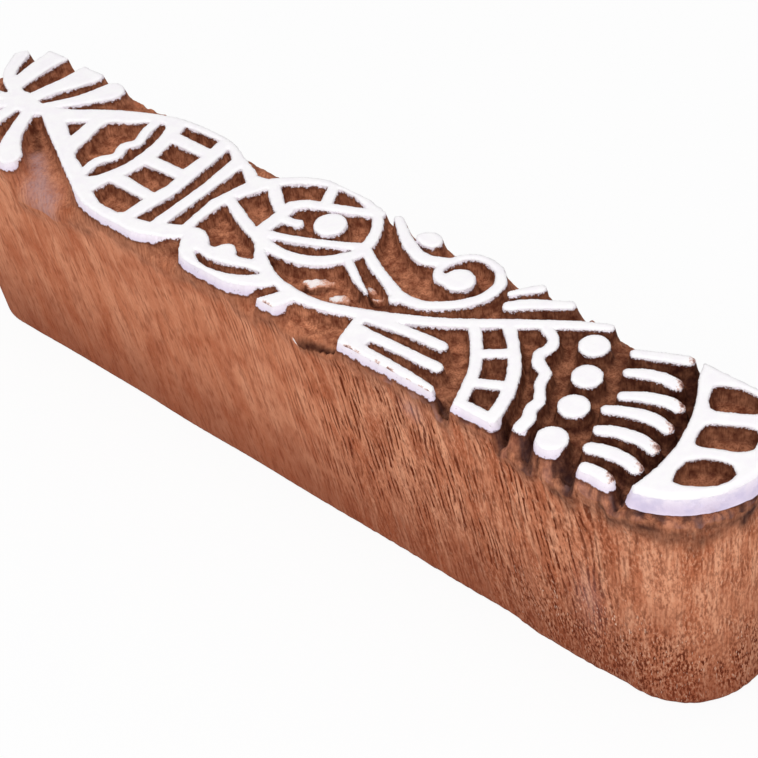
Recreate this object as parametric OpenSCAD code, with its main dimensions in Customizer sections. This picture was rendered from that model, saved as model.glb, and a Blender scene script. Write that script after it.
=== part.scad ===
// Wooden hand printing block with a folk figure carved in relief.
// One piece of wood: the raised lines are left standing when the ground between
// them is cut away. A thin white coat lies on the top of every raised line.
// X runs along the block, Y across it and Z up from the flat back.

/* [Block] */
// Overall length, from the top of the left end to the foot of the right end
block_l = 154; // [120:1:200]
// Overall width, at the widest place beside the head
block_w = 26.5; // [23:0.5:40]
// Height of the wood, from the flat back to the top of the raised lines
block_h = 37.2; // [20:0.1:60]
// How much the far side swells beside the head
far_swell = 0.7; // [0:0.1:3]
// Rounding of the left end's near corner
left_near_r = 8; // [4:0.1:11]
// Rounding of the right end's near corner
right_near_r = 12.2; // [4:0.1:13]
// Rounding of both far corners
far_r = 7; // [4:0.1:8]
// How far the left end leans out at the top
left_lean = 6.5; // [0:0.1:12]
// How far the right end leans in at the top
right_lean = 1.7; // [0:0.1:12]

/* [Carving] */
// Depth of the ground below the top of the raised lines
relief_d = 2.5; // [1:0.1:6]
// Ledge of ground left outside the outermost lines
rim_w = 0.5; // [0.3:0.1:2]
// Width of a plain carved line
line_w = 1.7; // [1:0.1:2.2]
// Diameter of the dots in the row
dot_d = 4.3; // [2:0.1:4.8]
// Diameter of the eye
eye_d = 5; // [2:0.1:5.4]
// Diameter of the disc inside the scroll
disc_d = 4.6; // [2:0.1:5]
// Thinnest sliver of wood that the knife leaves standing
sliver_w = 0.3; // [0.1:0.05:0.5]

/* [Coat] */
// Thickness of the white coat on the raised lines
coat_t = 0.3; // [0.1:0.05:1]

/* [Hidden] */
$fn = 20;
wood_colour = "#8f4f36";
coat_colour = "#f4f1f3";

// Heights: the ground, the depth that the raised lines reach into it to be one with it,
// and the thin plates that the blank is stretched between
ground_z = block_h - relief_d;
root_d = 0.2;
plate_t = 0.01;

// The figure is drawn by points on a net of squares that is centred on the block. The net's
// far right corner falls on the corner of the block's overall length and width, so the figure
// follows both.
net_corner = [77, 13.25];
stretch_x = block_l / 2 / net_corner[0];
stretch_y = block_w / 2 / net_corner[1];

// Sides and ends of the block, at the top and at the foot
near_y = -block_w / 2;
far_y = block_w / 2 - far_swell;
top_left_x = -block_l / 2;
top_right_x = block_l / 2 - right_lean;
foot_left_x = top_left_x + left_lean;
foot_right_x = block_l / 2;
swell_x = -3.5 * stretch_x;
swell_r = 12;

// Lines are drawn as [x, y, share of line_w] and smoothed with this many steps a span
curve_steps = 3;

// Centres of the four dots, and the middle lines of the seven bars
dots = [[44.5, 6.6], [47.3, 1.4], [49.3, -4], [50.6, -10.2]];
bars = [
    [[49.8, 8.5, 0.9], [53, 10, 1], [56.2, 11.4, 1]],
    [[51.2, 5.1, 0.9], [53.5, 6.3, 1.1], [56, 6.9, 1.15], [57.6, 6.7, 1.1]],
    [[53.2, 1.2, 0.9], [55.5, 2.6, 1.1], [58.5, 3.6, 1.2], [60.2, 3.5, 1.1]],
    [[53, -2, 0.9], [55.5, -0.8, 1.1], [58.5, 0, 1.2], [61.2, -0.3, 1.1]],
    [[54.5, -5.5, 1], [56.5, -4.5, 1.15], [59.5, -3.9, 1.2], [61.9, -4.2, 1.1]],
    [[55.5, -8.7, 1.1], [57.5, -8, 1.25], [60.3, -7.8, 1.25], [62.2, -8.2, 1.1]],
    [[57, -11.7, 1], [59, -11.5, 1.1], [60.5, -11.7, 1]]
];

// The hem's outer edge, an arc that leaves a wider ledge at the near corner
hem_centre = [61.3, 1.8];
hem_r = 13.5;

// Curves

// A drawn point, carried to the present face
function placed(p) = [p[0] * stretch_x, p[1] * stretch_y, len(p) > 2 ? p[2] * line_w : 0];

// One point of a smooth curve between b and c, with a and d as the neighbours
function curve_point(a, b, c, d, t) =
    0.5 * (2 * b + (c - a) * t + (2 * a - 5 * b + 4 * c - d) * t * t + (3 * b - a - 3 * c + d) * t * t * t);

// A smooth open curve through the drawn points
function open_curve(drawn) =
    let (p = [for (q = drawn) placed(q)], last = len(p) - 1)
    [
        for (i = [0:last - 1], s = [0:curve_steps - 1])
            curve_point(p[max(i - 1, 0)], p[i], p[i + 1], p[min(i + 2, last)], s / curve_steps),
        p[last]
    ];

// A smooth closed curve through the drawn points
function closed_curve(drawn) =
    let (p = [for (q = drawn) placed(q)], n = len(p))
    [
        for (i = [0:n - 1], s = [0:curve_steps - 1])
            curve_point(p[(i + n - 1) % n], p[i], p[(i + 1) % n], p[(i + 2) % n], s / curve_steps)
    ];

function flat(points) = [for (p = points) [p[0], p[1]]];

// Unit vector across the curve at its point i
function across(c, i) =
    let (v = c[min(i + 1, len(c) - 1)] - c[max(i - 1, 0)], d = norm([v[0], v[1]]))
    [-v[1] / d, v[0] / d];

// Left edge (side 1) or right edge (side -1) of a line
function edge(c, side) = [for (i = [0:len(c) - 1]) [c[i][0], c[i][1]] + across(c, i) * side * c[i][2] / 2];

function backwards(list) = [for (i = [len(list) - 1:-1:0]) list[i]];

// A carved line with round ends
module line(drawn) {
    c = open_curve(drawn);
    polygon(concat(edge(c, 1), backwards(edge(c, -1))));
    for (tip = [c[0], c[len(c) - 1]])
        translate([tip[0], tip[1]])
            circle(d = tip[2]);
}

// An area with a smooth outline
module area(drawn) {
    polygon(flat(closed_curve(drawn)));
}

// An area with straight sides
module patch(drawn) {
    polygon(flat([for (p = drawn) placed(p)]));
}

module dot_at(centre, d) {
    translate([centre[0] * stretch_x, centre[1] * stretch_y])
        circle(d = d);
}

// Block outline

// A corner of the outline, rounded inwards from the point where the two sides would meet
module corner(x, y, r) {
    translate([x - sign(x) * r, y - sign(y) * r])
        circle(r = r, $fn = 32);
}

module outline(left_x, right_x) {
    hull() {
        corner(left_x, near_y, left_near_r);
        corner(right_x, near_y, right_near_r);
        corner(left_x, far_y, far_r);
        corner(right_x, far_y, far_r);
        translate([swell_x, block_w / 2 - swell_r])
            circle(r = swell_r, $fn = 32);
    }
}

// The part of the face that lines may reach
module carved_field() {
    offset(delta = -rim_w)
        outline(top_left_x, top_right_x);
}

// Motifs, each the plan of its raised lines

module hat() {
    difference() {
        area([
            [-60.5, 0.6], [-56, 2.8], [-51, 6], [-46, 8.6], [-40, 10.8], [-34, 11.5], [-28, 11.2],
            [-23.5, 9.4], [-19.2, 7.6], [-18, 5], [-18.4, 0], [-18.6, -5], [-18, -9.3], [-22, -11.6],
            [-27, -13], [-34, -12.6], [-38, -11.8], [-44, -8.9], [-51, -5.2], [-57, -2]
        ]);
        patch([[-54, 0.1], [-51.2, 2.2], [-50.6, -2.2]]);
        area([
            [-48.4, 3.6], [-45, 5.7], [-42.4, 7.8], [-40, 8.4], [-38.4, 5], [-37.9, -0.5], [-38.6, -4],
            [-40.4, -7.4], [-43.4, -6.2], [-46.8, -4.6], [-47.7, -1]
        ]);
        patch([[-37.2, 10], [-30, 10.4], [-29.7, 8.1], [-36.5, 8.1]]);
        patch([[-36, 5.8], [-29.5, 5.9], [-29.5, 2.1], [-35.2, 1.9]]);
        patch([[-35.4, -0.3], [-28.9, -0.1], [-28.7, -2.2], [-29.1, -4.4], [-36, -4]]);
        patch([[-37, -6.4], [-29.3, -6.4], [-29.5, -10.2], [-30.3, -10.9], [-34, -10.9], [-37.4, -9.5]]);
        patch([
            [-27.4, 9.8], [-25, 8], [-24.4, 1.2], [-24.5, -9.6], [-27.2, -10.3], [-26.3, -2.7], [-26.5, 0.3]
        ]);
        patch([[-22.4, 7.5], [-19.2, 5.2], [-20.7, -0.8], [-20, -7.3], [-22.4, -8.6]]);
    }
    line([
        [-42, 9, 1], [-41.5, 5.7, 1], [-40.5, 2.9, 1], [-41.6, 0.8, 1], [-40.8, -1.5, 1],
        [-42.4, -4, 1], [-42, -7, 1]
    ]);
}

module plume() {
    area([[-65.6, 2.1], [-62, 1.4], [-58, 0.4], [-60, -1.5], [-63.5, -2.2], [-66.5, -1.2], [-67, 0.6]]);
    line([[-65, 0.6, 1.2], [-69.6, 1.9, 1.2], [-72.8, 4.4, 1.3], [-74.8, 8.6, 1.5]]);
    line([[-66.5, 0.2, 1.2], [-68.6, 2, 1.5], [-69.2, 4.4, 1.9], [-69.5, 8, 2.1], [-69.4, 12.4, 2.6]]);
    line([[-63.8, 1.4, 1.6], [-63, 4.6, 1.7], [-61.8, 7.6, 2.2], [-60.8, 11, 3]]);
    line([[-60.4, 0.8, 1], [-57.5, 4.3, 1.4], [-56, 6.5, 1.8], [-54.2, 9.8, 2.6]]);
    line([[-65, 0, 1], [-69.5, -1.4, 1.3], [-75, -2.2, 1.9]]);
    line([[-65, -0.8, 1], [-68.4, -4.4, 1.4], [-71.4, -8.6, 2.2]]);
    line([[-64.4, -1.4, 1.2], [-64.5, -6, 1.5], [-64.6, -11, 2.2]]);
    line([[-61.4, -1.6, 1.3], [-59, -6.4, 1.6], [-57, -9.2, 2.1], [-55.2, -11, 2.5]]);
}

module face() {
    line([[-9.6, -1.6, 1.2], [-9.4, 1.2, 1.4], [-9.7, 5.2, 1.2]]);
    line([[-9.6, 5.2, 1.2], [-8.2, 6.7, 1.1], [-6, 7.6, 1], [-3, 8.8, 1], [0.4, 10.2, 1], [2.4, 11.2, 0.9]]);
    line([[-7.6, 12, 1], [-5.8, 8.4, 1.1]]);
    line([[-16, 7.5, 1.1], [-12.8, 10.2, 1], [-8, 12.4, 0.8], [-3.5, 12.6, 0.7], [1, 11.4, 0.9]]);
    line([[1.6, 11.4, 1], [4.2, 8.4, 1], [5.5, 5.2, 1.1], [5.6, 2.4, 1.1], [4.4, 0.4, 1]]);
    line([[-9.4, -2, 1], [-5.5, -0.8, 0.9], [-1, 1, 0.9], [3, 2.9, 0.9], [5.4, 4.2, 1]]);
    line([[-8.6, -3, 1.2], [-4.5, -3.6, 1.1], [-0.5, -3.1, 1.2], [3, -1.2, 1.3], [5.2, 1.6, 1.2]]);
    line([[-9.4, 2.3, 1.1], [-7.6, 2.3, 0.9], [-6.1, 2.7, 1]]);
}

module collar() {
    patch([[-18.8, 2], [-17.5, 2], [-15.3, 6.3], [-14.8, 7.6], [-16.6, 7.9], [-19.4, 7.2]]);
    line([[-15.2, 7, 1.2], [-12.6, 5, 1.2], [-10.6, 3.6, 1.1]]);
    line([[-19, 1.2, 1], [-14.5, -0.8, 1.1], [-10.5, -2.4, 1.1], [-8, -3, 1]]);
}

module eye() {
    dot_at([-2, 5.2], eye_d);
}

// The jaw, which runs on as the raised arm
module arm() {
    line([[-8.5, -2.6, 1], [-6.5, -4.8, 1], [-4.6, -7, 1]]);
    line([
        [-5.6, -5.2, 0.6], [-2.5, -7.1, 0.6], [0.5, -8.4, 0.9], [4.5, -9, 1.1], [8.5, -8.6, 1],
        [12.5, -7.4, 1.1], [16.5, -5.8, 1.1], [20.5, -3.9, 1.1], [24.5, -1.8, 1.05], [28.5, 0.7, 1.05],
        [32.5, 3.5, 1.05], [36.5, 6.1, 1.05], [40, 8.4, 1], [44, 10.6, 0.8]
    ]);
}

module lip() {
    difference() {
        area([
            [-18.8, -7.4], [-16.8, -6.4], [-14.9, -7], [-13.5, -8.2], [-12.4, -8.1], [-11.8, -7],
            [-10.8, -6.3], [-9.6, -6.6], [-8.5, -7.7], [-6.8, -7.4], [-4.4, -6.6], [-1.2, -8.2], [0.4, -9.6],
            [-3.6, -12], [-8.4, -13.2], [-13.5, -12.9], [-16.6, -11.4]
        ]);
        area([
            [-14.4, -10.2], [-11.5, -10.5], [-8.2, -9.8], [-5, -8.7], [-2.8, -8.6], [-5, -10.5],
            [-8.6, -11.8], [-12, -11.8]
        ]);
    }
}

module chin() {
    patch([[2.6, -9], [5.4, -9.2], [4.8, -10.6], [4.3, -11.8], [3.4, -13.2], [0.2, -13.2], [1.2, -11.6]]);
}

module leaf() {
    line([[5.4, 1, 0.9], [6.2, 0.3, 0.8], [8.4, -1, 0.8], [10.2, -2, 0.6], [12.2, -2.9, 0.3]]);
}

module scroll() {
    line([
        [5.8, 4.2, 1], [9, 2.3, 1], [12.5, 0.8, 1], [16.5, -0.8, 1.15], [20, -0.5, 1], [22.5, 0.9, 1],
        [25, 3.3, 1], [26.5, 6.3, 1], [26.3, 9.3, 1], [24.4, 11.4, 0.8]
    ]);
    line([[16.5, -0.8, 1.15], [16.4, -1.7, 1]]);
    line([[24.4, 11.4, 0.8], [21.5, 12, 0.7], [19, 11, 0.7], [17.8, 9, 0.8]]);
    line([
        [5.4, 11.8, 0.8], [8, 9.9, 1], [10.4, 8.4, 1.15], [12.8, 7.4, 1.2], [15, 7.3, 1.3],
        [17.4, 8.6, 1]
    ]);
    line([[17.6, 9, 0.7], [17.4, 6.8, 0.8], [18.6, 5.4, 1], [20.6, 5.4, 1.1]]);
    dot_at([21.2, 6.5], disc_d);
}

module oval() {
    area([[10.1, 10.2], [11.4, 9.5], [13.2, 9.5], [14.1, 10.6], [13.6, 12], [11.8, 12.4], [10.4, 11.5]]);
}

module hand() {
    patch([
        [14.4, -7.6], [17, -6.2], [20, -5.6], [19.5, -7], [16.2, -7.5], [16.2, -8.3], [19.4, -8.3],
        [19.4, -11], [21, -11.2], [21, -12.9], [16, -12.9], [15.4, -11.6]
    ]);
    line([[17, -6.4, 1], [21, -5.8, 1], [25, -5.4, 1], [28, -5.2, 1]]);
    line([[16.4, -9.3, 1.1], [21.5, -9, 1], [26.5, -8.8, 1], [30.2, -8.7, 1]]);
    line([[17, -12, 1], [22, -12, 1], [27.5, -12.2, 1], [31.8, -12.6, 1]]);
}

module ladder() {
    line([
        [28.6, 0.8, 1.1], [31, -1.6, 1], [33.2, -4.2, 1], [35, -7.2, 1], [36.2, -10.2, 1], [37, -12.2, 1]
    ]);
    line([
        [33, 3, 1.1], [36, 0.2, 1], [38.4, -2.6, 1.1], [40.3, -5.8, 1.1], [41.4, -8.8, 1.1],
        [42.1, -11.8, 1.1]
    ]);
    line([[33.4, -3.2, 1], [36, -1.2, 1]]);
    line([[36.2, -8, 1], [39.4, -6.4, 1]]);
    patch([[36.2, -11.3], [42, -11.1], [42.6, -12.9], [37.2, -13.1]]);
}

module wave() {
    line([
        [36.6, 6, 1], [39.2, 4.6, 1], [40, 2.8, 1], [39.6, 1.1, 1], [40.8, -0.4, 1.1], [42.5, -1.3, 1],
        [43.1, -3.1, 0.9], [44.3, -4.7, 0.9], [45.1, -5.9, 1], [45.1, -7.5, 1], [45.9, -9.1, 1.1],
        [46.1, -11, 1.1]
    ]);
}

module slash_1() {
    line([[28.9, 8.4, 0.6], [30.2, 10, 0.8], [31.6, 11.6, 0.9]]);
}

module slash_2() {
    line([[30.3, 6.3, 1.1], [32.4, 8.2, 1.2], [35, 9.9, 1.05], [37, 11.2, 0.9]]);
}

module hem() {
    outer_edge = [for (turn = [-78:4:-2]) hem_centre + hem_r * [cos(turn), sin(turn)]];
    inner_edge = [
        [57.4, 14], [59, 9.7], [61.4, 5.6], [62.8, 2.2], [63.9, -2], [64.2, -6], [63.9, -9.4], [63.6, -11]
    ];
    difference() {
        intersection() {
            carved_field();
            patch(concat(outer_edge, [[78, 4], [78, 14]], inner_edge));
        }
        area([[61.6, 9.2], [63.5, 5.8], [66.2, 6.7], [69.2, 8.5], [69.2, 10], [67, 11], [64.4, 10.9]]);
        area([[64.8, 3], [67.2, 4.7], [70.4, 6], [72, 3.4], [71, 1.6], [68, 0.2], [66, -0.6], [65, 0.6]]);
        area([
            [66.4, -4], [68, -1.9], [71, -0.8], [72.7, -2], [72.3, -4.2], [70.6, -6], [67.8, -7.4],
            [66.7, -6.6]
        ]);
    }
}

module bar(i) {
    line(bars[i]);
}

module dot(i) {
    dot_at(dots[i], dot_d);
}

// All raised lines together
module figure() {
    hat();
    plume();
    face();
    collar();
    eye();
    arm();
    lip();
    chin();
    leaf();
    scroll();
    oval();
    hand();
    ladder();
    wave();
    slash_1();
    slash_2();
    for (i = [0:len(dots) - 1])
        dot(i);
    for (i = [0:len(bars) - 1])
        bar(i);
    hem();
}

// What is left standing: nothing past the rim, and no thin slivers
module standing() {
    offset(delta = sliver_w / 2)
        offset(delta = -sliver_w / 2)
            intersection() {
                carved_field();
                children();
            }
}

// The block: a blank with leaning ends, and the raised lines standing on its ground
module block() {
    color(wood_colour) {
        hull() {
            linear_extrude(plate_t)
                outline(foot_left_x, foot_right_x);
            translate([0, 0, ground_z - plate_t])
                linear_extrude(plate_t)
                    outline(top_left_x, top_right_x);
        }
        translate([0, 0, ground_z - root_d])
            linear_extrude(root_d + relief_d)
                standing()
                    figure();
    }
}

// The coat on its first child. The other children are the lines that it joins,
// where the coat of those lines runs on.
module coat() {
    color(coat_colour)
        translate([0, 0, block_h])
            linear_extrude(coat_t)
                standing()
                    difference() {
                        children(0);
                        if ($children > 1)
                            children([1:$children - 1]);
                    }
}

module hat_coat() {
    coat() {
        hat();
    }
}

module plume_coat() {
    coat() {
        plume();
        hat();
    }
}

module face_coat() {
    coat() {
        face();
        hat();
    }
}

module collar_coat() {
    coat() {
        collar();
        hat();
        face();
    }
}

module eye_coat() {
    coat() {
        eye();
    }
}

module arm_coat() {
    coat() {
        arm();
        collar();
        face();
    }
}

module lip_coat() {
    coat() {
        lip();
        hat();
        collar();
        face();
        arm();
    }
}

module chin_coat() {
    coat() {
        chin();
        lip();
        arm();
    }
}

module leaf_coat() {
    coat() {
        leaf();
        face();
    }
}

module scroll_coat() {
    coat() {
        scroll();
        face();
    }
}

module oval_coat() {
    coat() {
        oval();
    }
}

module hand_coat() {
    coat() {
        hand();
        arm();
    }
}

module ladder_coat() {
    coat() {
        ladder();
        arm();
    }
}

module wave_coat() {
    coat() {
        wave();
        arm();
        ladder();
    }
}

module slash_1_coat() {
    coat() {
        slash_1();
    }
}

module slash_2_coat() {
    coat() {
        slash_2();
    }
}

module dot_coat(i) {
    coat() {
        dot(i);
    }
}

module bar_coat(i) {
    coat() {
        bar(i);
    }
}

module hem_coat() {
    coat() {
        hem();
    }
}

block();
hat_coat();
plume_coat();
face_coat();
collar_coat();
eye_coat();
arm_coat();
lip_coat();
chin_coat();
leaf_coat();
scroll_coat();
oval_coat();
hand_coat();
ladder_coat();
wave_coat();
slash_1_coat();
slash_2_coat();
for (i = [0:len(dots) - 1])
    dot_coat(i);
for (i = [0:len(bars) - 1])
    bar_coat(i);
hem_coat();
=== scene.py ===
"""Looks of a wooden hand printing block: carved wood with a white coat on its raised lines."""

import math

import bpy
import numpy as np
from mathutils import Matrix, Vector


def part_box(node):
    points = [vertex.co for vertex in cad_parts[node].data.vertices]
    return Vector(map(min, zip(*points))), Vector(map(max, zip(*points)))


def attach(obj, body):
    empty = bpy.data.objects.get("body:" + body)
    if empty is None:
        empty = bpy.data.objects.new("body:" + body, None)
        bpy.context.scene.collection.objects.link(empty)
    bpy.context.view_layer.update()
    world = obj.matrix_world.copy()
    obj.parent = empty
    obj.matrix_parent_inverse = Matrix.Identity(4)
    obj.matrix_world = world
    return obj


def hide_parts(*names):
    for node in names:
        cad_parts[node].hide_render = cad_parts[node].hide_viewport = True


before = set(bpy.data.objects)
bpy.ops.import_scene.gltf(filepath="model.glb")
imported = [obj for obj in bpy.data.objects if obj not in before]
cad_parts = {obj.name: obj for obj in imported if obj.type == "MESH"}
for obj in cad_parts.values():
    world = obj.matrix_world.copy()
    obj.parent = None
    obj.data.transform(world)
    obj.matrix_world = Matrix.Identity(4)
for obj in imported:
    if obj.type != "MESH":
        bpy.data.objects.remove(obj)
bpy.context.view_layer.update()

# Sizes of the block, in metres, as in the frame
mm = 0.001
block_low, block_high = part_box("block")
land_z = block_high.z
coat_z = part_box("hat_coat")[1].z
coat_t = coat_z - land_z
relief_d = 2.5 * mm
ground_z = land_z - relief_d
left_lean = 6.5 * mm
right_lean = 1.7 * mm
rim_left_x = block_low.x
rim_right_x = block_high.x - right_lean
foot_left_x = block_low.x + left_lean
foot_right_x = block_high.x
near_y = block_low.y
swell = 0.7 * mm
far_y = block_high.y - swell
swell_x = -3.5 * mm
left_near_r = 8 * mm
right_near_r = 12.2 * mm
far_r = 7 * mm
wall_w = 0.38 * mm
foot_round = 0.45 * mm

# The arc of the hem's outer edge, and how far its wall slopes and its top edge drops
hem_centre_x = 61.3 * mm
hem_centre_y = 1.8 * mm
hem_slope = 0.45 * mm
hem_drop = 0.45 * mm

# Fineness of the meshes
step = 0.22 * mm
left_corner_steps = 54
right_corner_steps = 82
cells_across = 118
side_rows = 64
points_at_once = 2000
sharp_angle = math.radians(72)

# The grain runs down the block and leans towards the right end on the way
grain_lean = math.radians(10.5)
pore_pitch = 0.82 * mm


def scatter(column, row, seed):
    """A repeatable number from 0 to 1 for each whole-number place."""
    value = np.sin(column * 127.1 + row * 311.7 + seed * 74.7) * 43758.5453
    return value - np.floor(value)


def patches(x, y, size_x, size_y, seed):
    """Soft patches from 0 to 1 of about the given size."""
    u = x / size_x
    v = y / size_y
    column = np.floor(u)
    row = np.floor(v)
    a = u - column
    b = v - row
    a = a * a * (3 - 2 * a)
    b = b * b * (3 - 2 * b)
    low = scatter(column, row, seed) * (1 - a) + scatter(column + 1, row, seed) * a
    high = scatter(column, row + 1, seed) * (1 - a) + scatter(column + 1, row + 1, seed) * a
    return low * (1 - b) + high * b


def ease(value, start, end):
    """A smooth step from 0 at start to 1 at end."""
    share = np.clip((value - start) / (end - start), 0, 1)
    return share * share * (3 - 2 * share)


def spot(x, y, centre_x, centre_y, size_x, size_y):
    """A soft round spot that is 1 at its centre."""
    return np.exp(-((x - centre_x) / size_x) ** 2 - ((y - centre_y) / size_y) ** 2)


def streak(x, y, start, end, width):
    """A soft line from one place to another that is 1 along its middle."""
    run_x = end[0] - start[0]
    run_y = end[1] - start[1]
    share = ((x - start[0]) * run_x + (y - start[1]) * run_y) / (run_x ** 2 + run_y ** 2)
    share = np.clip(share, 0, 1)
    gap_x = x - start[0] - share * run_x
    gap_y = y - start[1] - share * run_y
    return np.exp(-(gap_x ** 2 + gap_y ** 2) / width ** 2)


def rounded_edge(gap, reach):
    """How far a rounded edge has dropped at a gap from it: 1 at the edge, 0 beyond its reach."""
    share = np.clip(1 - gap / reach, 0, 1)
    return 1 - np.sqrt(1 - share ** 2)


def plan_edges(node, height):
    """Edges, seen from above, round what a node shows at one height."""
    mesh = node.data
    mesh.calc_loop_triangles()
    places = np.array([vertex.co[:] for vertex in mesh.vertices])
    keys = [tuple(place) for place in np.round(places[:, :2] / 1e-6).astype(int)]
    level = np.abs(places[:, 2] - height) < 0.01 * mm
    sides = {}
    for triangle in mesh.loop_triangles:
        corners = list(triangle.vertices)
        if level[corners].all():
            for first, second in zip(corners, corners[1:] + corners[:1]):
                sides[(keys[first], keys[second])] = (places[first, :2], places[second, :2])
    return np.array([ends for (first, second), ends in sides.items() if (second, first) not in sides])


def plan_distance(points, edges):
    """Distance to the nearest edge, positive inside the outlines, and the nearest place on it."""
    start = edges[:, 0]
    along = edges[:, 1] - start
    length_2 = (along ** 2).sum(1)
    distance = np.empty(len(points))
    nearest = np.empty_like(points)
    for first in range(0, len(points), points_at_once):
        group = slice(first, first + points_at_once)
        part = points[group]
        offset = part[:, None] - start[None]
        share = np.clip((offset * along).sum(2) / length_2, 0, 1)
        gap_2 = ((offset - share[..., None] * along) ** 2).sum(2)
        best = gap_2.argmin(1)
        each = np.arange(len(part))
        nearest[group] = start[best] + share[each, best][:, None] * along[best]
        passes = (offset[..., 1] < 0) != (offset[..., 1] < along[:, 1])
        rise = np.where(along[:, 1] == 0, 1, along[:, 1])
        left_of = offset[..., 0] < offset[..., 1] / rise * along[:, 0]
        inside = (passes & left_of).sum(1) % 2 == 1
        distance[group] = np.sqrt(gap_2[each, best]) * np.where(inside, 1, -1)
    return distance, nearest


def corner_bow(x, left_r, right_r):
    """How far the rounded corners draw a long side in, along the rim."""
    left = np.clip((rim_left_x + left_r - x) / left_r, 0, 1)
    right = np.clip((x - rim_right_x + right_r) / right_r, 0, 1)
    return left_r * (1 - np.sqrt(1 - left ** 2)) + right_r * (1 - np.sqrt(1 - right ** 2))


def near_side(x):
    """The near edge of the rim."""
    return near_y + corner_bow(x, left_near_r, right_near_r)


def far_side(x):
    """The far edge of the rim, which swells beside the head."""
    half = (rim_right_x - rim_left_x) / 2
    bulge = np.clip(1 - ((x - swell_x) / half) ** 2, 0, 1)
    return far_y + swell * bulge - corner_bow(x, far_r, far_r)


def rim_places():
    """Places along the rim, evenly spread, and close together round the corners."""
    turn_left = np.linspace(0, math.pi / 2, left_corner_steps)
    turn_right = np.linspace(0, math.pi / 2, right_corner_steps)
    left = rim_left_x + left_near_r * (1 - np.cos(turn_left))
    right = rim_right_x - right_near_r * (1 - np.cos(turn_right[::-1]))
    count = round((right[0] - left[-1]) / step)
    middle = np.linspace(left[-1], right[0], count + 1)
    return np.concatenate([left[:-1], middle, right[1:]])


# The carved face as a net of squares that follows the rim
rim_x = rim_places()
columns = len(rim_x)
rows = cells_across + 1
share_across = np.linspace(0, 1, rows)
net_x = np.repeat(rim_x[:, None], rows, 1)
net_near = near_side(net_x)
net_far = far_side(net_x)
net_y = net_near + (net_far - net_near) * share_across
column_step = np.gradient(rim_x)
row_step = (net_far[:, 0] - net_near[:, 0]) / cells_across
cell = np.repeat(np.maximum(column_step, row_step)[:, None], rows, 1)

# Points beside an edge of the raised lines, or beside the foot of their walls, move onto it
land_edges = plan_edges(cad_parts["block"], land_z)
flat_points = np.column_stack([net_x.ravel(), net_y.ravel()])
inset, nearest = plan_distance(flat_points, land_edges)
away = flat_points - nearest
away_length = np.maximum(np.linalg.norm(away, axis=1), 1e-9)
outward = away / away_length[:, None] * np.where(inset > 0, -1, 1)[:, None]
border = np.zeros((columns, rows), bool)
border[[0, -1], :] = True
border[:, [0, -1]] = True
free = ~border.ravel()
half_cell = cell.ravel() / 2
on_edge = free & (np.abs(inset) < half_cell)
on_foot = free & ~on_edge & (np.abs(inset + wall_w) < half_cell)
knife = 0.16 * mm * (patches(flat_points[:, 0], flat_points[:, 1], 0.6 * mm, 0.6 * mm, 6) - 0.5)
flat_points[on_edge] = (nearest + outward * knife[:, None])[on_edge]
flat_points[on_foot] = (nearest + outward * (knife + wall_w)[:, None])[on_foot]
inset[on_edge] = 0
inset[on_foot] = -wall_w
x = flat_points[:, 0]
y = flat_points[:, 1]

# Distance of each point of the face from the rim
from_near = y - near_side(x)
from_far = far_side(x) - y
from_ends = np.minimum(x - rim_left_x, rim_right_x - x)
from_rim = np.minimum(np.minimum(from_near, from_far), from_ends)

# Distance of the nearest raised line from the rim
line_x = nearest[:, 0]
line_y = nearest[:, 1]
line_gap = np.minimum(line_y - near_side(line_x), far_side(line_x) - line_y)
line_gap = np.minimum(line_gap, np.minimum(line_x - rim_left_x, rim_right_x - line_x))
outer_wall = (from_rim < line_gap + 0.1 * mm) * (1 - ease(line_gap, 1.6 * mm, 2.8 * mm))

# The hem's outer side, which has a sloping wall and a rounded top edge, and the ground left of the hem
hem_gap = plan_distance(flat_points, plan_edges(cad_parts["hem_coat"], coat_z))[0]
of_hem = np.abs(hem_gap) < np.abs(inset) + 0.15 * mm
from_arc = np.hypot(line_x - hem_centre_x, line_y - hem_centre_y)
hem_side = of_hem * ease(from_arc, 12.7 * mm, 13.2 * mm) * (1 - ease(line_y, 3 * mm, 9 * mm))
hem_left_y = mm * np.array([-11, -6, -2, 2.2, 5.6, 9.7, 14])
hem_left_x = mm * np.array([63.6, 64.2, 63.9, 62.8, 61.4, 59, 57.4])
left_of_hem = np.interp(y, hem_left_y, hem_left_x) - x
wall_here = wall_w + hem_slope * hem_side
edge_drop = hem_drop * hem_side * rounded_edge(inset, 0.9 * mm)
from_foot = -inset - wall_here


def chip(centre_x, centre_y, turn, half_length, half_width):
    """A low flat chip of wood that the knife left standing, 1 on the top of its higher end."""
    right = (x - centre_x) * math.cos(turn) + (y - centre_y) * math.sin(turn)
    back = (y - centre_y) * math.cos(turn) - (x - centre_x) * math.sin(turn)
    reach = np.sqrt((right / half_length) ** 2 + (back / half_width) ** 2)
    top = 1 - ease(reach + 0.5 * (patches(x, y, 0.5 * mm, 0.5 * mm, 7) - 0.5), 0.75, 1.15)
    return top * (1 - 0.27 * ease(right / half_length, -0.3, 0.5))


# Gouge marks on the ground, rougher near the rim and calm on the slope at the left
gouges = 0.34 * mm * (patches(x, y, 1.5 * mm, 0.9 * mm, 1) - 0.5)
gouges += 0.26 * mm * (patches(x + y, y - x, 0.7 * mm, 0.55 * mm, 2) - 0.5)
gouges += 0.16 * mm * (patches(x, y, 0.34 * mm, 0.34 * mm, 3) - 0.5)
gouges *= 1.7 - 0.7 * ease(from_near, mm, 4 * mm)
slope_left = ease(x, -62 * mm, -57 * mm) * (1 - ease(x, -44 * mm, -38 * mm))
slope_left = slope_left * (1 - ease(from_near, 4 * mm, 9 * mm))
gouges *= 1 - 0.75 * slope_left

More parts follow.
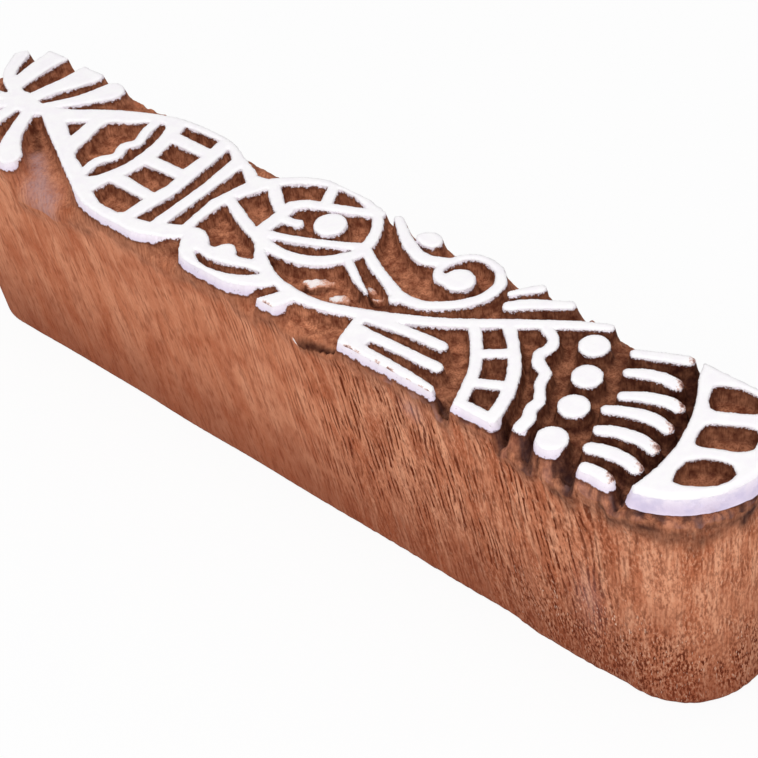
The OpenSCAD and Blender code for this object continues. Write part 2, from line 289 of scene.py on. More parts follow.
# Chewed ground at the near rim of the right half, with deep hollows, and crevices beside the raised lines
chewed = ease(x, 28 * mm, 36 * mm) * (1 - ease(from_near, 1.5 * mm, 4 * mm))
hollows = patches(x, y, 2.1 * mm, 1.3 * mm, 19)
gouges += 1.5 * mm * chewed * (0.4 - hollows) * (1 - 0.6 * ease(x, 60 * mm, 66 * mm))
gouges += 0.6 * mm * chewed * (patches(x, y, 0.6 * mm, 0.6 * mm, 20) - 0.5)
deep = ease(x, 31 * mm, 36 * mm) * (1 - ease(x, 61 * mm, 65 * mm))
deep = deep * (1 - ease(from_near, 1.5 * mm, 4.5 * mm))
gouges -= 1.1 * mm * deep
beside = ease(np.abs(outward[:, 0]), 0.35, 0.75) * (1 - ease(from_foot, 0.6 * mm, 2.2 * mm)) * (inset < 0)
in_front = ease(-outward[:, 1], 0.6, 0.9) * (1 - ease(from_foot, 0.6 * mm, 1.6 * mm)) * (inset < 0)
crevice = deep * beside * (1 - hem_side) * (0.4 + 0.6 * ease(from_near, 0.2 * mm, mm))
gouges -= 0.5 * mm * crevice
far_ragged = 1 - ease(from_far, 0.6 * mm, 2.2 * mm)
gouges += 1.1 * mm * far_ragged * (patches(x, y, 1.1 * mm, 0.9 * mm, 22) - 0.55)

# A ragged cut along the near rim, and a slit below the arm
cut_line = 1.1 * mm + 0.8 * mm * (patches(x, y * 0, 4 * mm, mm, 9) - 0.5)
ragged_cut = np.exp(-((from_near - cut_line) / (0.35 * mm)) ** 2) * patches(x, y, 2.3 * mm, 1.1 * mm, 10)
ragged_cut *= 0.8 * ease(x, 16 * mm, 30 * mm) * (1 - 0.7 * ease(x, 60 * mm, 66 * mm))
slit = streak(x, y, (8.3 * mm, -13.4 * mm), (14.8 * mm, -12.2 * mm), 0.5 * mm)
ragged_cut = np.maximum(ragged_cut, slit)

# The worn rim, lowest on the slope at the left and at three places of the far side
firm_rim = spot(x, y, 9 * mm, -13 * mm, 5 * mm, 3 * mm)
before_hem = 1 - ease(x, 59 * mm, 64 * mm)
rounding = (1.2 * mm + 1.4 * mm * before_hem * patches(x, y * 0, 3.1 * mm, mm, 4)) * (1 - 0.6 * firm_rim)
worn_rim = 0.6 * rounding * rounded_edge(from_rim, rounding)
worn_rim += 2.2 * mm * slope_left * rounded_edge(from_near, 6 * mm)
far_drop = 2.4 * mm * spot(x, y, -22 * mm, 13 * mm, 6 * mm, 3 * mm)
far_drop += 0.9 * mm * spot(x, y, 7 * mm, 13 * mm, 5 * mm, 3 * mm)
far_drop += 1.1 * mm * spot(x, y, 46 * mm, 13 * mm, 5 * mm, 3 * mm)
worn_rim += far_drop * np.clip(1 - from_far / (2.2 * mm), 0, 1)

# A few low chips of wood left standing, and a painted shadow on the ground at their near side
chips = np.maximum(chip(3.9 * mm, -3.8 * mm, 0.68, 2.3 * mm, 1.0 * mm),
                   chip(8.7 * mm, -4.6 * mm, 0.45, 1.7 * mm, 0.85 * mm))
chips = np.maximum(chips, 0.9 * chip(11.3 * mm, -0.8 * mm, 0, 1.0 * mm, 0.5 * mm))
chips = np.maximum(chips, 0.9 * chip(13 * mm, -1.7 * mm, 0.45, 1.1 * mm, 0.3 * mm))
chip_shadows = np.maximum(chip(3.9 * mm, -4.5 * mm, 0.68, 2.3 * mm, 1.0 * mm),
                         chip(8.7 * mm, -5.3 * mm, 0.45, 1.7 * mm, 0.85 * mm))
chip_shadows = np.maximum(chip_shadows, chip(13 * mm, -2.5 * mm, 0.3, 2 * mm, 0.5 * mm))

# Height of each point of the face: tops, walls with a flared foot, and ground
clear = ease(from_foot, 0, 0.7 * mm)
flare = 0.3 * mm + outer_wall * mm * patches(x, y, 0.9 * mm, 0.9 * mm, 8) * before_hem + 0.5 * mm * deep
fillet = flare * np.exp(-np.maximum(from_foot, 0) / (0.35 * mm + 0.5 * mm * deep))
at_rim = (1 - before_hem) * (1 - ease(from_rim, 0, 0.4 * mm))
fillet *= 1 - at_rim
floor_z = ground_z + fillet + clear * (gouges - 1.1 * mm * ragged_cut)
floor_z += 0.9 * mm * chips - np.maximum(clear, at_rim) * worn_rim
wall_share = np.clip(-inset / wall_here, 0, 1)
top_z = land_z - edge_drop
face_z = top_z + (floor_z - top_z) * wall_share

# How far down each wall the white coat ran: far down beside the rim, a short fringe elsewhere
fringe = 0.5 * mm * patches(x, y, 0.4 * mm, 0.4 * mm, 5) * (1 - 0.5 * ease(x, 30 * mm, 36 * mm))
lip_part = ease(line_x, -21 * mm, -18 * mm) * (1 - ease(line_x, -3 * mm, 0))
ran_down = (1.2 * mm + 0.35 * mm * lip_part) * outer_wall * (1 - ease(line_y, 3 * mm, 9 * mm))
ran_down *= 1 - spot(line_x, line_y, 46.1 * mm, -11.9 * mm, 1.3 * mm, mm)
face_white = np.maximum(fringe, ran_down) * (1 - ease(-inset - wall_w, 0.1 * mm, 0.45 * mm))
hem_white = 2.7 * mm * hem_side * (1 - ease(from_foot, 0, 0.5 * mm))
face_white = np.maximum(face_white, hem_white)

# Stain and painted shade, darkest in the narrow gaps and the cuts, and dust and a painted sheen lying on the
# rim
# Darker beside the walls' feet: partly stain, partly painted shade in the narrow gaps
face_stain_and_shade = 0.1 + 0.3 * np.exp(-np.maximum(-inset - wall_w, 0) / (0.5 * mm))
# Painted shade on the deep ground of the right half, between the bars and the hem
right_ground_shade = 0.42 * ease(x, 20 * mm, 50 * mm) * ease(from_near, 0.5 * mm, 4 * mm)
face_stain_and_shade += right_ground_shade * (0.55 + 0.45 * before_hem)
# Painted shade in the deep hollows of the chewed ground
face_stain_and_shade += 0.75 * chewed * ease(hollows, 0.4, 0.85)
face_stain_and_shade += 0.5 * chewed * ease(patches(x, y, 0.7 * mm, 0.5 * mm, 23), 0.5, 0.8)
# Painted shade in the crevices beside the raised lines, and painted light on the ground just in front of them
face_stain_and_shade += 0.6 * crevice - 0.2 * deep * in_front * (1 - hem_side)
# Painted shadow at the foot of the hem's wall
hem_foot_shadow = hem_side * (inset < 0) * np.exp(-np.maximum(from_foot, 0) / mm)
face_stain_and_shade += 0.5 * hem_foot_shadow * (0.4 + 0.6 * hollows)
# Painted shade on the ground just left of the hem
hem_gap_shade = (left_of_hem > 0) * (1 - ease(left_of_hem, 1.5 * mm, 5 * mm))
hem_gap_shade = hem_gap_shade * ease(from_near, 1.5 * mm, 4 * mm)
face_stain_and_shade += 0.35 * hem_gap_shade
# Painted shadow on the ground at the chips' near side
face_stain_and_shade += 0.7 * chip_shadows * (1 - ease(chips, 0.4, 0.8))
face_stain_and_shade -= 0.25 * spot(x, y, 6.5 * mm, -9.5 * mm, 3 * mm, 2 * mm)
face_stain_and_shade *= 1 - 0.6 * slope_left
# Painted shade in a streak below the hat
shade_below_hat = streak(x, y, (-59 * mm, -2.5 * mm), (-55 * mm, -5.8 * mm), 1.1 * mm)
face_stain_and_shade = np.maximum(face_stain_and_shade, 0.6 * shade_below_hat)
# The ragged cut and the slit also get painted shadow
face_stain_and_shade = np.clip(np.maximum(face_stain_and_shade, ragged_cut), 0.05, 0.95)
# Grey-lilac streaks on the worn rim at the left are a painted sheen; the patches along the rim further right
# are dust
face_dust_and_sheen = np.maximum(streak(x, y, (-54 * mm, -7 * mm), (-48.5 * mm, -10.8 * mm), 1.3 * mm),
                       streak(x, y, (-49.5 * mm, -11.2 * mm), (-45.5 * mm, -12.6 * mm), 2 * mm))
dusty_rim = ease(x, 15 * mm, 25 * mm) * patches(x, y, 1.4 * mm, 0.6 * mm, 14) ** 2
face_dust_and_sheen = np.maximum(face_dust_and_sheen, 0.6 * dusty_rim * np.exp(-from_near / (1.2 * mm)))

# How far the cut ground differs from plain wood: little on the slope at the left and close to the rim
cut_share = ease(from_rim + 1.2 * mm * (patches(x, y, 1.3 * mm, 1.3 * mm, 18) - 0.5), 0.2 * mm, 2.4 * mm)
face_carved = np.maximum(0.35 + 0.65 * cut_share, 0.8 * chewed) * (1 - 0.6 * slope_left)


def net_index(column, row):
    """Number of a point of the net."""
    return column * rows + row


def net_quads():
    """The net's squares, each as four point numbers, seen from above."""
    column, row = np.meshgrid(np.arange(columns - 1), np.arange(rows - 1), indexing="ij")
    corner = net_index(column, row).ravel()
    return np.column_stack([corner, corner + rows, corner + rows + 1, corner + 1])


def make_object(name, vertices, faces, fields, material):
    """A mesh object that is smooth but for its sharp edges, with one number a point for each field."""
    mesh = bpy.data.meshes.new(name)
    mesh.from_pydata(vertices.tolist(), [], faces)
    for label, values in fields.items():
        layer = mesh.attributes.new(label, "FLOAT", "POINT")
        layer.data.foreach_set("value", np.asarray(values, np.float32))
    mesh.shade_smooth()
    mesh.set_sharp_from_angle(angle=sharp_angle)
    mesh.materials.append(material)
    piece = bpy.data.objects.new(name, mesh)
    bpy.context.scene.collection.objects.link(piece)
    return piece


def new_material(name):
    """An empty procedural material."""
    material = bpy.data.materials.new(name)
    material.use_nodes = True
    material.node_tree.nodes.clear()
    return material


def add(tree, kind, inputs, settings=None):
    """A shader node with its sockets linked or set."""
    node = tree.nodes.new(kind)
    for name, value in (settings or {}).items():
        setattr(node, name, value)
    for name, value in inputs.items():
        if isinstance(value, bpy.types.NodeSocket):
            tree.links.new(value, node.inputs[name])
        else:
            node.inputs[name].default_value = value
    return node


def field(tree, name):
    """A number that the mesh carries at each point."""
    return add(tree, "ShaderNodeAttribute", {}, {"attribute_name": name}).outputs["Fac"]


def speckle(tree, vector, sizes, detail=2.0):
    """Noise from 0 to 1 with patches of the given sizes along X, Y and Z."""
    scale = tuple(1 / size for size in sizes)
    scaled = add(tree, "ShaderNodeMapping", {"Vector": vector, "Scale": scale}).outputs[0]
    inputs = {"Vector": scaled, "Scale": 1.0, "Detail": detail, "Roughness": 0.6}
    return add(tree, "ShaderNodeTexNoise", inputs).outputs[0]


def ramp(tree, value, start, end, low=0.0, high=1.0):
    """A smooth step from low at start to high at end."""
    inputs = {"Value": value, "From Min": start, "From Max": end, "To Min": low, "To Max": high}
    return add(tree, "ShaderNodeMapRange", inputs, {"interpolation_type": "SMOOTHSTEP"}).outputs[0]


def math_node(tree, operation, first, second):
    """Two numbers joined by one operation."""
    return add(tree, "ShaderNodeMath", {0: first, 1: second}, {"operation": operation}).outputs[0]


def part_of(tree, value, share):
    """A number times a fixed share."""
    return math_node(tree, "MULTIPLY", value, share)


def blend(tree, share, first, second):
    """The first colour going over to the second."""
    return add(tree, "ShaderNodeMix", {0: share, 6: first, 7: second}, {"data_type": "RGBA"}).outputs[2]


def colour(red, green, blue):
    """A colour from its screen values, 0 to 255."""
    values = [value / 255 for value in (red, green, blue)]
    linear = [v / 12.92 if v <= 0.04045 else ((v + 0.055) / 1.055) ** 2.4 for v in values]
    return (*linear, 1.0)


def wood_material():
    """Reddish brown wood with dark pores, dark in the carving, white where the coat ran over."""
    material = new_material("carved_wood")
    tree = material.node_tree
    place = add(tree, "ShaderNodeTexCoord", {}).outputs["Object"]
    sides = add(tree, "ShaderNodeSeparateXYZ", {"Vector": place}).outputs
    height = sides["Z"]
    shift = math_node(tree, "MULTIPLY", height, field(tree, "lean"))
    leaning = math_node(tree, "ADD", sides["X"], shift)
    grain = add(tree, "ShaderNodeCombineXYZ", {"X": leaning, "Y": sides["Y"], "Z": height}).outputs[0]

    # Plain wood: broad bands, soft red patches and streaks along the grain
    streaky = field(tree, "streaks")
    bands = speckle(tree, grain, (5 * mm, 5 * mm, 26 * mm))
    reds = speckle(tree, place, (6 * mm, 6 * mm, 6 * mm))
    streaks = speckle(tree, grain, (1.6 * mm, 1.6 * mm, 10 * mm))
    pale = math_node(tree, "MULTIPLY", ramp(tree, streaks, 0.5, 0.66), streaky)
    dark = math_node(tree, "MULTIPLY", ramp(tree, streaks, 0.48, 0.32), streaky)
    wood = blend(tree, ramp(tree, bands, 0.3, 0.7), colour(194, 118, 84), colour(220, 149, 114))
    wood = blend(tree, part_of(tree, ramp(tree, reds, 0.42, 0.68), 0.5), wood, colour(166, 84, 52))
    wood = blend(tree, part_of(tree, pale, 0.7), wood, colour(244, 178, 142))
    wood = blend(tree, part_of(tree, dark, 0.6), wood, colour(148, 74, 44))

    # Soft dashes, and dark pores: short lines side by side along the grain, crowded in some places
    across = math_node(tree, "ADD", leaning, part_of(tree, sides["Y"], 0.8))
    wander = speckle(tree, grain, (2.4 * mm, 2.4 * mm, 11 * mm))
    turns = math_node(tree, "ADD", part_of(tree, across, 2 * math.pi / pore_pitch), part_of(tree, wander, 16))
    lines = ramp(tree, math_node(tree, "SINE", turns, 0), -0.15, 0.85)
    dashes = ramp(tree, speckle(tree, grain, (0.7 * mm, 0.7 * mm, 2.6 * mm)), 0.4, 0.54)
    crowd = ramp(tree, speckle(tree, grain, (4 * mm, 4 * mm, 9 * mm), 1.0), 0.22, 0.54)
    crowd = math_node(tree, "MULTIPLY", crowd, field(tree, "pores"))
    open_pores = math_node(tree, "MULTIPLY", math_node(tree, "MULTIPLY", lines, dashes), crowd)
    soft = ramp(tree, speckle(tree, grain, (0.6 * mm, 0.6 * mm, 2.4 * mm), 1.0), 0.5, 0.72)
    soft_share = math_node(tree, "ADD", part_of(tree, field(tree, "lean"), 1.2), 0.23)
    wood = blend(tree, math_node(tree, "MULTIPLY", soft, soft_share), wood, colour(128, 62, 36))
    wood = blend(tree, open_pores, wood, colour(98, 36, 12))

    # Fine dark pits and pale fibres, thickest near the foot of the right end
    pit_share = field(tree, "pitted")
    grains = speckle(tree, grain, (0.3 * mm, 0.3 * mm, 0.8 * mm), 3.0)
    thick = ramp(tree, speckle(tree, grain, (2.6 * mm, 2.6 * mm, 4 * mm)), 0.3, 0.6)
    pit_share = math_node(tree, "MULTIPLY", pit_share, math_node(tree, "ADD", part_of(tree, thick, 0.6), 0.4))
    pitted = math_node(tree, "MULTIPLY", ramp(tree, grains, 0.52, 0.4), pit_share)
    wood = blend(tree, pitted, wood, colour(70, 22, 6))
    fluff = math_node(tree, "MULTIPLY", ramp(tree, grains, 0.54, 0.64), pit_share)
    wood = blend(tree, part_of(tree, fluff, 0.7), wood, colour(246, 190, 156))
    loose = ramp(tree, speckle(tree, grain, (0.2 * mm, 0.2 * mm, 0.8 * mm), 0.0), 0.74, 0.79)
    loose = math_node(tree, "MULTIPLY", loose, ramp(tree, pit_share, 0.3, 0.7))
    wood = blend(tree, loose, wood, colour(246, 204, 178))

    # Redder and darker towards the foot
    uneven = math_node(tree, "SUBTRACT", height, part_of(tree, bands, 12 * mm))
    low = ramp(tree, uneven, 18 * mm, -9 * mm)
    wood = blend(tree, part_of(tree, low, 0.7), wood, colour(120, 56, 34))

    # Carved ground: lighter and darker spots and cut fibres, with stain and painted shade beside the raised
    # lines
    rough = speckle(tree, place, (1.3 * mm, 1.3 * mm, 1.3 * mm), 4.0)
    fibres = speckle(tree, place, (0.26 * mm, 0.26 * mm, 2.2 * mm), 2.0)
    ground = blend(tree, ramp(tree, rough, 0.22, 0.78), colour(124, 64, 42), colour(224, 150, 112))
    ground = blend(tree, part_of(tree, ramp(tree, fibres, 0.56, 0.34), 0.5), ground, colour(92, 38, 22))
    carved = field(tree, "carved")
    surface = blend(tree, carved, wood, ground)
    # Stain and painted shade from the mesh, spread unevenly
    stain_and_shade_spread = math_node(tree, "ADD", part_of(tree, rough, -0.6), 1.25)
    stain_and_shade = math_node(tree, "MULTIPLY", field(tree, "stain_and_shade"), stain_and_shade_spread)
    surface = blend(tree, stain_and_shade, surface, colour(50, 20, 14))

    # Pale dust in patches, and a painted sheen on the worn rim at the left
    dust_and_sheen_spread = ramp(tree, speckle(tree, grain, (0.5 * mm, 0.5 * mm, 1.6 * mm), 3.0), 0.1, 0.6)
    dust_and_sheen = math_node(tree, "MULTIPLY", field(tree, "dust_and_sheen"), dust_and_sheen_spread)
    surface = blend(tree, part_of(tree, dust_and_sheen, 0.65), surface, colour(172, 140, 142))

    # White coat that ran down the walls, with a ragged lower edge, painted shade greying it further down and
    # a painted shadow line below it
    depth = math_node(tree, "SUBTRACT", land_z, height)
    coarse = speckle(tree, place, (0.9 * mm, 0.9 * mm, 0.9 * mm), 1.0)
    ragged = speckle(tree, place, (0.2 * mm, 0.2 * mm, 0.2 * mm), 2.0)
    even_run = ramp(tree, field(tree, "white"), 1.3 * mm, 2.0 * mm)
    uneven_share = math_node(tree, "ADD", part_of(tree, even_run, -0.6), 0.7)
    spread = math_node(tree, "MULTIPLY", math_node(tree, "SUBTRACT", coarse, 0.5), uneven_share)
    reach = math_node(tree, "MULTIPLY", field(tree, "white"), math_node(tree, "ADD", spread, 1.0))
    wide_run = ramp(tree, field(tree, "white"), 0.6 * mm, 1.1 * mm)
    fray = math_node(tree, "ADD", part_of(tree, wide_run, -0.75 * mm), 1.2 * mm)
    fray = math_node(tree, "ADD", part_of(tree, even_run, -0.3 * mm), fray)
    frayed = math_node(tree, "MULTIPLY", math_node(tree, "SUBTRACT", ragged, 0.5), fray)
    left_over = math_node(tree, "SUBTRACT", math_node(tree, "ADD", reach, frayed), depth)
    # A thin painted shadow just below the coat's lower edge
    shadow_line = part_of(tree, ramp(tree, left_over, -0.7 * mm, -0.1 * mm), 0.6)
    walls = ramp(tree, field(tree, "white"), 0.0, 0.05 * mm)
    surface = blend(tree, math_node(tree, "MULTIPLY", shadow_line, walls), surface, colour(70, 32, 24))
    white = math_node(tree, "MULTIPLY", ramp(tree, left_over, -0.1 * mm, 0.1 * mm), walls)
    smudges = ramp(tree, speckle(tree, place, (2.4 * mm, 2.4 * mm, 1.6 * mm), 2.0), 0.42, 0.68)
    # Painted shade: the coat on the walls greys to lavender further down
    run = blend(tree, ramp(tree, depth, 0.1 * mm, 1.6 * mm), colour(246, 237, 246), colour(226, 213, 233))
    smudges = math_node(tree, "MULTIPLY", smudges, even_run)
    run = blend(tree, part_of(tree, smudges, 0.45), run, colour(192, 184, 216))
    flecks = ramp(tree, speckle(tree, place, (0.4 * mm, 0.4 * mm, 0.4 * mm)), 0.66, 0.74)
    fleck_share = math_node(tree, "SUBTRACT", 0.7, part_of(tree, even_run, 0.7))
    flecks = math_node(tree, "MULTIPLY", flecks, fleck_share)
    run = blend(tree, flecks, run, colour(128, 98, 100))
    surface = blend(tree, white, surface, run)

    # Low chips left standing, whitish on top
    chip_top = math_node(tree, "ADD", field(tree, "chip"), part_of(tree, ragged, 0.7))
    surface = blend(tree, ramp(tree, chip_top, 0.75, 1.05), surface, colour(218, 158, 132))
    surface = blend(tree, ramp(tree, chip_top, 1.05, 1.3), surface, colour(250, 240, 238))

    # Fine relief of the surface
    pits = part_of(tree, open_pores, -0.6)
    side_relief = math_node(tree, "ADD", part_of(tree, grains, 0.8), pits)
    ground_relief = math_node(tree, "ADD", part_of(tree, rough, 1.6), part_of(tree, fibres, 0.6))
    relief = add(tree, "ShaderNodeMix", {0: carved, 2: side_relief, 3: ground_relief}).outputs[0]
    bump = add(tree, "ShaderNodeBump", {"Height": relief, "Distance": 0.12 * mm, "Strength": 0.8})
    sheen = ramp(tree, relief, 0.2, 0.9, 0.84, 0.64)
    inputs = {
        "Base Color": surface,
        "Roughness": sheen,
        "Specular IOR Level": 0.06,
        "Normal": bump.outputs[0],
    }
    shader = add(tree, "ShaderNodeBsdfPrincipled", inputs)
    add(tree, "ShaderNodeOutputMaterial", {"Surface": shader.outputs[0]})
    return material


def coat_material():
    """White coat, a little uneven, worn through to pinkish wood in places."""
    material = new_material("white_coat")
    tree = material.node_tree
    place = add(tree, "ShaderNodeTexCoord", {}).outputs["Object"]
    cloud = speckle(tree, place, (2.5 * mm, 2.5 * mm, 2.5 * mm), 3.0)
    white = blend(tree, ramp(tree, cloud, 0.35, 0.7), colour(255, 253, 254), colour(251, 247, 251))
    flakes = speckle(tree, place, (0.4 * mm, 0.4 * mm, 0.4 * mm), 3.0)
    worn = math_node(tree, "ADD", flakes, field(tree, "worn"))
    surface = blend(tree, ramp(tree, worn, 0.82, 0.98), white, colour(222, 190, 182))
    surface = blend(tree, ramp(tree, worn, 0.98, 1.14), surface, colour(126, 82, 70))
    bump = add(tree, "ShaderNodeBump", {"Height": flakes, "Distance": 0.03 * mm, "Strength": 0.5})
    sheen = ramp(tree, cloud, 0.3, 0.7, 0.52, 0.7)
    inputs = {"Base Color": surface, "Roughness": sheen, "Normal": bump.outputs[0]}
    shader = add(tree, "ShaderNodeBsdfPrincipled", inputs)
    add(tree, "ShaderNodeOutputMaterial", {"Surface": shader.outputs[0]})
    return material


def ring_points():
    """Numbers of the net's border points in order: near side, right end, far side, left end."""
    near = [net_index(i, 0) for i in range(columns)]
    right = [net_index(columns - 1, j) for j in range(1, rows)]
    far = [net_index(i, rows - 1) for i in range(columns - 2, -1, -1)]
    left = [net_index(0, j) for j in range(rows - 2, 0, -1)]
    return np.array(near + right + far + left)


def build_block(material):
    """The wood: carved face, ridged sides with leaning ends, and a flat back."""
    ring = ring_points()
    count = len(ring)
    rim = np.column_stack([x[ring], y[ring], face_z[ring]])
    stretch = (foot_right_x - foot_left_x) / (rim_right_x - rim_left_x)
    foot = rim.copy()
    foot[:, 0] = foot_left_x + (rim[:, 0] - rim_left_x) * stretch
    foot[:, 2] = 0
    tangent = np.roll(rim, -1, 0)[:, :2] - np.roll(rim, 1, 0)[:, :2]
    tangent /= np.linalg.norm(tangent, axis=1)[:, None]
    inward = np.column_stack([-tangent[:, 1], tangent[:, 0]])
    length = np.linalg.norm(np.roll(rim, -1, 0)[:, :2] - rim[:, :2], axis=1)
    along = np.concatenate([[0], np.cumsum(length)[:-1]])

    # Sides, row by row from the rim to the foot
    levels = [rim]
    depths = [np.zeros(count)]
    for row in range(1, side_rows + 1):
        even = row / side_rows
        share = even - 0.6 * math.sin(2 * math.pi * even) / (2 * math.pi)
        place = rim + (foot - rim) * share
        depth = rim[:, 2] - place[:, 2]
        across = along - depth * math.tan(grain_lean)
        ridge_share = 0.3 + 0.7 * ease(place[:, 0], 0, 20 * mm)
        ridges = patches(across, place[:, 2], 0.7 * mm, 6 * mm, 11) * ridge_share
        waves = patches(along, place[:, 2], 14 * mm, 17 * mm, 12)
        bulge = ease(place[:, 0], 42 * mm, 49 * mm) * (1 - ease(place[:, 0], 56 * mm, 64 * mm))
        bulge = bulge * (place[:, 1] < 0)
        pits = patches(along, place[:, 2], 0.9 * mm, 0.9 * mm, 13) * np.exp(-depth / (3 * mm))
        cuts = 0.14 * mm * ridges + 0.4 * mm * waves * (1 - bulge * share) + 0.3 * mm * pits
        settle = ease(depth, 0, 3.5 * mm)
        foot_in = foot_round * (1 - 0.7 * bulge) * ease(place[:, 2], 1.2 * mm, 0) ** 2
        place[:, :2] += inward * (cuts * settle + foot_in)[:, None]
        levels.append(place)
        depths.append(depth)
    side_points = np.concatenate(levels[1:])
    vertices = np.concatenate([np.column_stack([x, y, face_z]), side_points])
    faces = net_quads().tolist()
    rings = [ring] + [len(x) + row * count + np.arange(count) for row in range(side_rows)]
    for upper, lower in zip(rings, rings[1:]):
        after_upper = np.roll(upper, -1)
        after_lower = np.roll(lower, -1)
        faces += np.column_stack([upper, lower, after_lower, after_upper]).tolist()

    # Flat back, in strips from the near side to the far side
    last = rings[-1]
    near = last[:columns]
    far = last[columns + rows - 2:2 * columns + rows - 2][::-1]
    right_end = last[columns - 1:columns + rows - 1]
    left_end = np.concatenate([last[2 * columns + rows - 3:], last[:1]])
    faces.append([int(near[1]), *left_end[::-1].tolist(), int(far[1])])
    for i in range(1, columns - 2):
        faces.append([int(near[i]), int(far[i]), int(far[i + 1]), int(near[i + 1])])
    faces.append([int(far[columns - 2]), *right_end[::-1].tolist(), int(near[columns - 2])])

    # What the material needs to know at each point
    depth = np.concatenate(depths[1:])
    side_x = side_points[:, 0]
    side_z = side_points[:, 2]
    on_near = side_points[:, 1] < 0
    around = np.tile(along, side_rows)
    right_part = ease(side_x, 45 * mm, 62 * mm)
    side_hollows = patches(around, side_z, 1.9 * mm, 1.3 * mm, 16)
    rough_to = 1.2 * mm + 3 * mm * patches(around, around * 0, 3.3 * mm, mm, 15) + 3.2 * mm * right_part
    under_rim = 1 - ease(depth, 0, rough_to)
    below = ease(depth, 0, 1.4 * mm)
    face_part = np.tile(face_carved[ring], side_rows)
    carved = under_rim * (face_part + (0.35 + 0.65 * side_hollows - face_part) * below)
    under_hand = ease(side_x, 8 * mm, 14 * mm) * (1 - ease(side_x, 28 * mm, 34 * mm))
    spot_share = (0.3 + 0.7 * ease(side_x, -44 * mm, -24 * mm)) * (1 - 0.6 * under_hand)
    # Dark patches below the rim: partly stain, partly painted shade of a chewed band
    rim_spots_and_shade = 0.05 + 0.7 * side_hollows ** 1.5 * spot_share
    # A painted shadow band below the hem at the right end
    rim_spots_and_shade += right_part * (0.22 + 0.45 * ease(patches(around, side_z, 2.8 * mm, 2.2 * mm, 25), 0.3, 0.7))
    stain_and_shade_part = np.tile(np.minimum(face_stain_and_shade[ring], 0.45), side_rows)
    rim_stain_and_shade = under_rim * (stain_and_shade_part + (rim_spots_and_shade - stain_and_shade_part) * below)
    pores = 0.15 + 0.85 * ease(side_x, -4 * mm, 18 * mm) * (1 - 0.8 * ease(side_x, 54 * mm, 68 * mm))
    upper_pores = 0.7 * ease(side_x, -24 * mm, 0) * ease(side_z, 20 * mm, 32 * mm) * (1 - right_part)
    pores = np.maximum(pores, upper_pores)
    pores *= 0.4 + 0.6 * ease(side_z, 3 * mm, 12 * mm)
    streaks = 0.25 + 0.45 * ease(side_x, 0, 24 * mm)
    pitted = 0.1 + 0.25 * ease(side_x, 5 * mm, 25 * mm) + 0.1 * right_part
    pitted += 0.8 * ease(side_x, 34 * mm, 56 * mm) * (1 - ease(side_z, 5 * mm, 17 * mm))
    dust_and_sheen = 0.35 * on_near * spot(side_x, side_z, 58 * mm, 14 * mm, 2.2 * mm, 5 * mm)
    dust_and_sheen += 0.6 * on_near * spot(side_x, side_z, 28.8 * mm, 32 * mm, 1.6 * mm, 1.6 * mm)
    white_chip = 1.2 * on_near * spot(side_x, side_z, 7.8 * mm, 33.6 * mm, 0.7 * mm, 1.1 * mm)
    fields = {
        "carved": np.concatenate([face_carved, carved]),
        "white": np.concatenate([face_white, np.zeros(len(depth))]),
        "stain_and_shade": np.concatenate([face_stain_and_shade, rim_stain_and_shade]),
        "dust_and_sheen": np.concatenate([face_dust_and_sheen, dust_and_sheen]),
        "chip": np.concatenate([chips, white_chip]),
        "lean": math.tan(grain_lean) * (1 - ease(vertices[:, 0], 46 * mm, 70 * mm)),
        "pores": np.concatenate([np.full(len(x), 0.4), pores]),
        "streaks": np.concatenate([np.full(len(x), 0.3), streaks]),
        "pitted": np.concatenate([np.full(len(x), 0.15), pitted]),
    }
    return make_object("carved_block", vertices, faces, fields, material)


def wear_of(name, places, edge_gap, facing):
    """How worn a coat is at each point: most at the bars' right tips and the near edges of hand and chin."""
    right_of = places[:, 0] + places[:, 1]
    wear = 0.25 * (patches(places[:, 0], places[:, 1], 2.2 * mm, 2.2 * mm, 21) - 0.5)
    if name.startswith("bar_"):
        wear = wear + 0.62 * ease(right_of, right_of.max() - 2.6 * mm, right_of.max())
    if name in ("hand_coat", "chin_coat"):
        near_edge = (facing[:, 1] < -0.2) * (places[:, 1] < -10.5 * mm) * ease(edge_gap, 0.7 * mm, 0)
        specks = ease(patches(places[:, 0], places[:, 1], 1.1 * mm, 1.1 * mm, 24), 0.4, 0.7)
        wear = wear + 0.55 * near_edge * specks
    return wear


def coat_of_each(quads):
    """For each square of the raised lines, the number of the coat that lies on it."""
    centres = flat_points[quads].mean(1)
    owner = np.zeros(len(quads), int)
    depth = np.full(len(quads), -np.inf)
    for number, name in enumerate(coat_names):
        edges = plan_edges(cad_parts[name], coat_z)
        low = edges.reshape(-1, 2).min(0) - mm
        high = edges.reshape(-1, 2).max(0) + mm
        close = np.where(((centres > low) & (centres < high)).all(1))[0]
        inside = plan_distance(centres[close], edges)[0]
        deeper = inside > depth[close]
        owner[close[deeper]] = number
        depth[close[deeper]] = inside[deeper]
    return owner


